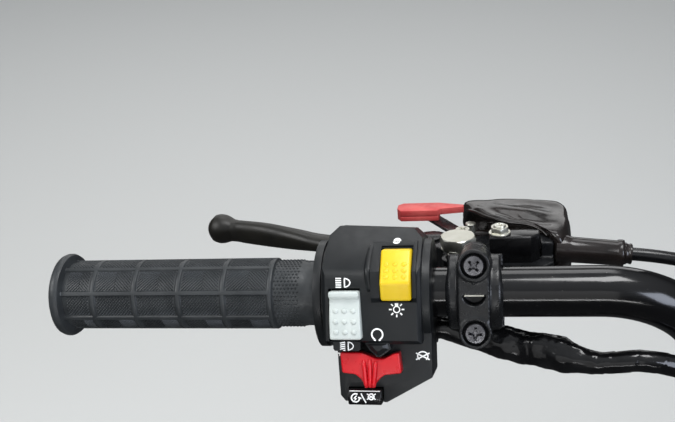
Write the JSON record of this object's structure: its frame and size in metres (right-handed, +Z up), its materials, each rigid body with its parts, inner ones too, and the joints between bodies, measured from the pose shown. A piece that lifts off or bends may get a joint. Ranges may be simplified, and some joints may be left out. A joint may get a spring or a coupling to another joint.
{
  "type": "quad bike handlebar with hand controls",
  "caption": "Bent steel handlebar of a utility quad bike with grips, brake levers, switch case, thumb throttle, master cylinder, brake cable and wiring loom.",
  "frame": {"origin": "tube's axis at the middle of its clamp seat", "axes": "+X to the rider's right, +Y forwards, +Z up"},
  "size_m": [0.7764, 0.1494, 0.1938],
  "materials": {
    "bar_enamel": "gloss black stove enamel",
    "grip_rubber": "moulded, satin",
    "case_plastic": "moulded, fine texture",
    "dark_screw": "dark chrome",
    "amber_plastic": "moulded, yellow",
    "white_plastic": "moulded, white",
    "red_plastic": "moulded, red",
    "black_gloss_plastic": "moulded, gloss black",
    "cast_black": "die casting, satin black",
    "lever_black": "forged, satin black",
    "zinc_steel": "zinc plated",
    "lock_red": "faded red",
    "boot_rubber": "moulded, glossy",
    "cable_sheath": "extruded, black",
    "loom_sleeve": "shrunk sleeve, black"
  },
  "bodies": {
    "handlebar": {"handlebar_tube": "bar_enamel", "grip_left": "grip_rubber", "grip_right": "grip_rubber", "switch_case_front": "case_plastic", "switch_case_rear": "case_plastic", "switch_case_screws": "dark_screw", "light_rocker": "amber_plastic", "dimmer_rocker": "white_plastic", "stop_switch": "red_plastic", "starter_button": "black_gloss_plastic", "clamp_cap_left": "cast_black", "clamp_cap_right": "cast_black", "clamp_screws_left": "dark_screw", "clamp_screws_right": "dark_screw", "brake_perch_left": "cast_black", "lever_bolt_left": "zinc_steel", "lever_bolt_right": "zinc_steel", "mirror_bolt_left": "zinc_steel", "mirror_bolt_right": "zinc_steel", "lock_arm": "zinc_steel", "lock_cap": "lock_red", "lock_screw": "zinc_steel", "brake_light_switch": "case_plastic", "light_switch_screw": "zinc_steel", "lever_boot": "boot_rubber", "cable_adjuster": "zinc_steel", "master_cylinder": "cast_black", "reservoir_lid": "case_plastic", "reservoir_screws": "zinc_steel", "throttle_case": "case_plastic", "throttle_cover": "cast_black", "throttle_screws": "zinc_steel", "thumb_lever_screw": "zinc_steel", "brake_cable": "cable_sheath", "brake_cable_coil": "cable_sheath", "coil_tie": "boot_rubber", "cable_fitting": "zinc_steel", "wiring_loom": "loom_sleeve", "loom_strap": "boot_rubber", "loom_connector": "case_plastic"},
    "left_brake_lever": {"brake_lever_left": "lever_black"},
    "right_brake_lever": {"brake_lever_right": "lever_black"},
    "thumb_throttle": {"thumb_lever": "case_plastic"}
  },
  "joints": [
    {"name": "left_lever_pivot", "type": "hinge", "parent": "handlebar", "child": "left_brake_lever", "pos_m": [-0.22318, 0.00178, 0.06473], "axis": [-0.1662, 0.2564, 0.9522], "range_deg": [0, 20], "stiffness_Nm_per_rad": 0.6, "springref_deg": -20.05},
    {"name": "right_lever_pivot", "type": "hinge", "parent": "handlebar", "child": "right_brake_lever", "pos_m": [0.22318, 0.00178, 0.06473], "axis": [-0.1662, -0.2564, -0.9522], "range_deg": [0, 20], "stiffness_Nm_per_rad": 0.6, "springref_deg": -20.05},
    {"name": "thumb_lever_pivot", "type": "hinge", "parent": "handlebar", "child": "thumb_throttle", "pos_m": [0.23576, -0.04369, 0.04003], "axis": [0.2107, 0.5787, 0.7879], "range_deg": [0, 28], "stiffness_Nm_per_rad": 0.3, "springref_deg": -20.05}
  ]
}
